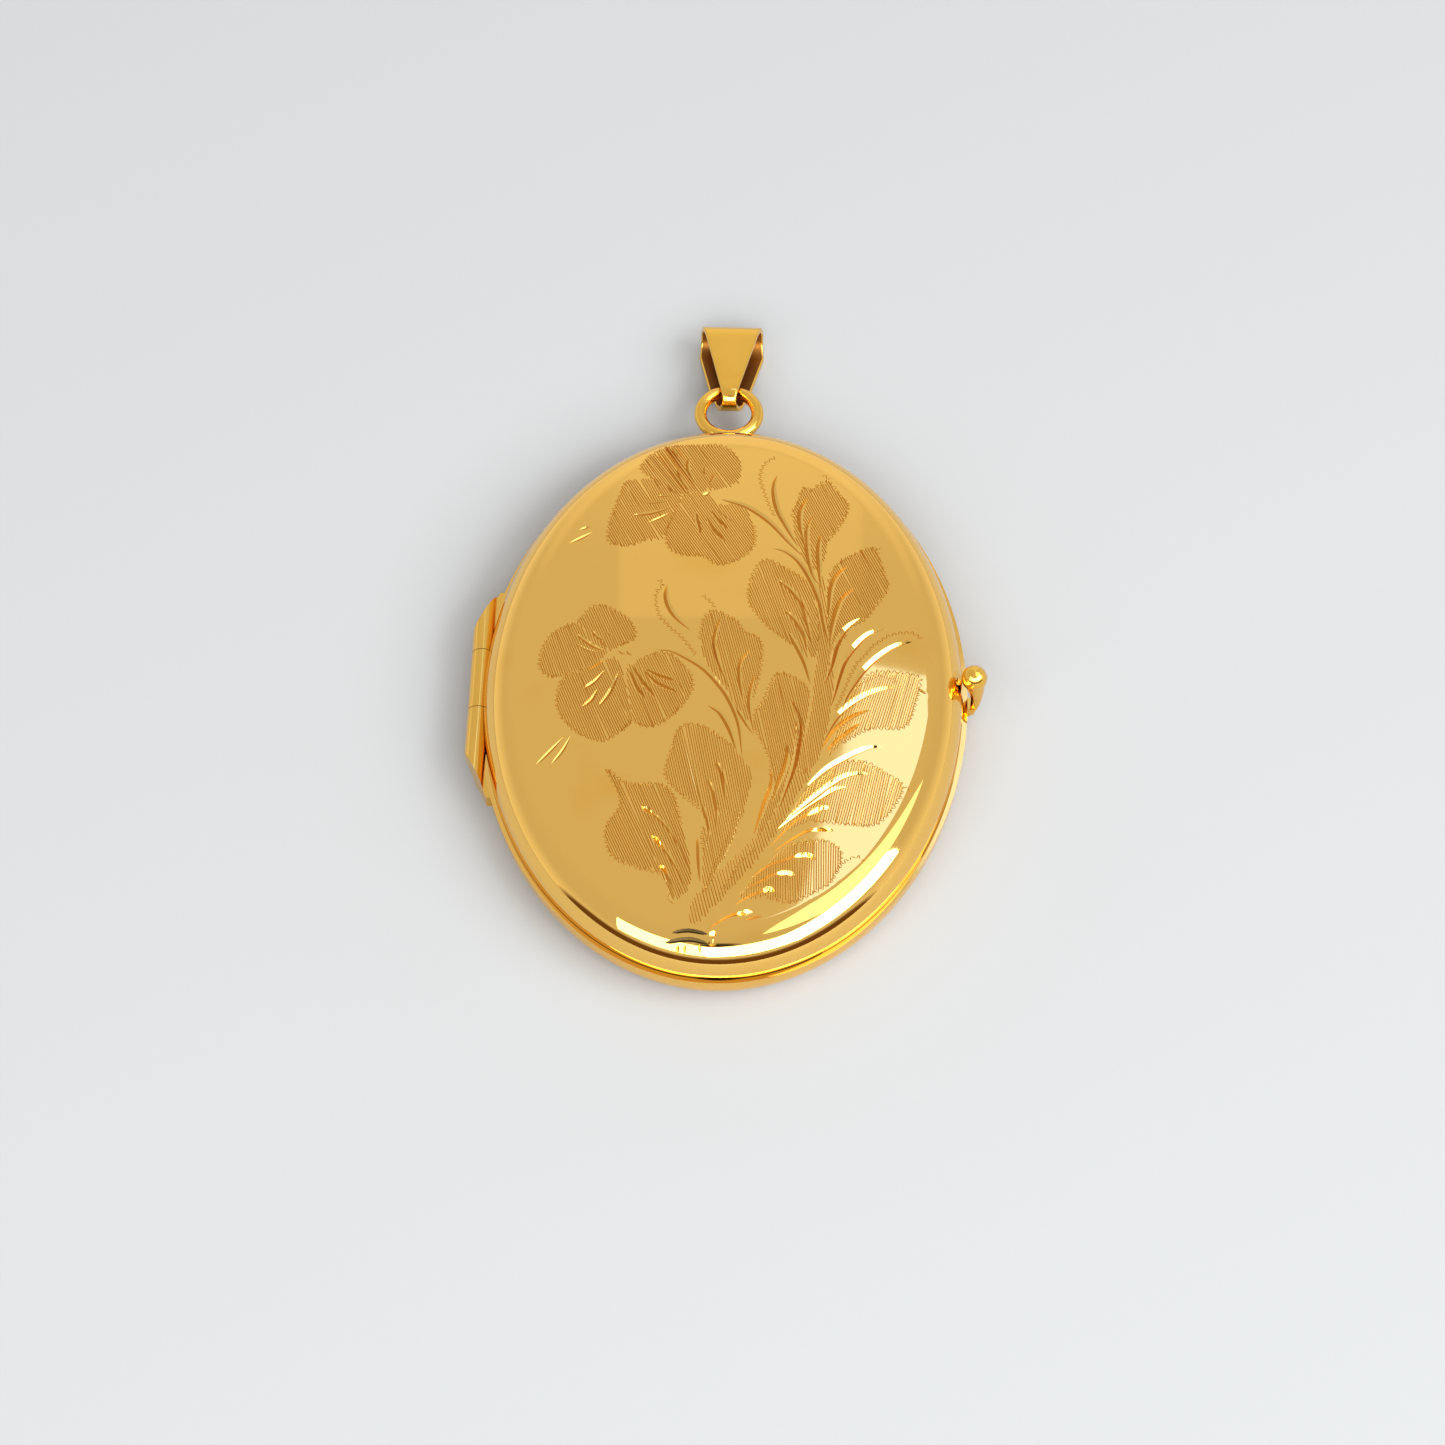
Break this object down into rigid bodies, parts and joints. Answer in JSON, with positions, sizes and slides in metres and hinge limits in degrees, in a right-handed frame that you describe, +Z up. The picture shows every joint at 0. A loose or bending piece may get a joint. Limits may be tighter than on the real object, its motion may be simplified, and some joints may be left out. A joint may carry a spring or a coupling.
{
  "type": "hinged locket",
  "caption": "Oval hinged picture locket in yellow gold, front engraved with flowers and leaves, side catch with a bead, loop and folded bail for a chain.",
  "frame": {"origin": "middle of the flat back, where the locket lies on a table", "axes": "+X from the hinge to the catch, +Y up towards the loop and bail, +Z up through the thickness to the engraved front"},
  "size_m": [0.0382, 0.0609, 0.006],
  "materials": {
    "case_gold": "mirror-polished yellow gold, front hand-engraved",
    "inner_gold": "bright yellow gold, softly polished",
    "hinge_gold": "filed and polished yellow gold",
    "fitting_gold": "polished yellow gold",
    "spring_metal": "hard-rolled spring gold",
    "clear_window": "clear thin sheet"
  },
  "bodies": {
    "back_half": {"back_cover": "case_gold", "back_rim": "inner_gold", "back_photo_frame": "inner_gold", "back_window": "clear_window", "hinge_knuckle_top": "hinge_gold", "hinge_knuckle_bottom": "hinge_gold", "hinge_bearer_top": "hinge_gold", "hinge_bearer_bottom": "hinge_gold", "hinge_pin": "hinge_gold", "top_loop": "fitting_gold", "catch_bracket": "inner_gold", "catch_pivot_pin": "inner_gold", "catch_spring": "spring_metal"},
    "front_half": {"front_cover": "case_gold", "front_rim": "inner_gold", "front_photo_frame": "inner_gold", "front_window": "clear_window", "hinge_knuckle_middle": "hinge_gold", "catch_keeper": "fitting_gold"},
    "catch": {"catch_lever": "fitting_gold", "catch_bead": "fitting_gold"},
    "bail": {"bail": "fitting_gold"}
  },
  "joints": [
    {"name": "cover_hinge", "type": "hinge", "parent": "back_half", "child": "front_half", "pos_m": [-0.018, 0, 0.00275], "axis": [0, -1, 0], "range_deg": [0, 170]},
    {"name": "catch_press", "type": "hinge", "parent": "back_half", "child": "catch", "pos_m": [0.0164, 0.00095, 0.00125], "axis": [0, -1, 0], "range_deg": [0, 5], "stiffness_Nm_per_rad": 0.05},
    {"name": "bail_swing", "type": "hinge", "parent": "back_half", "child": "bail", "pos_m": [-0.0004, 0.02948, 0.00235], "axis": [1, 0, 0], "range_deg": [0, 140]}
  ]
}
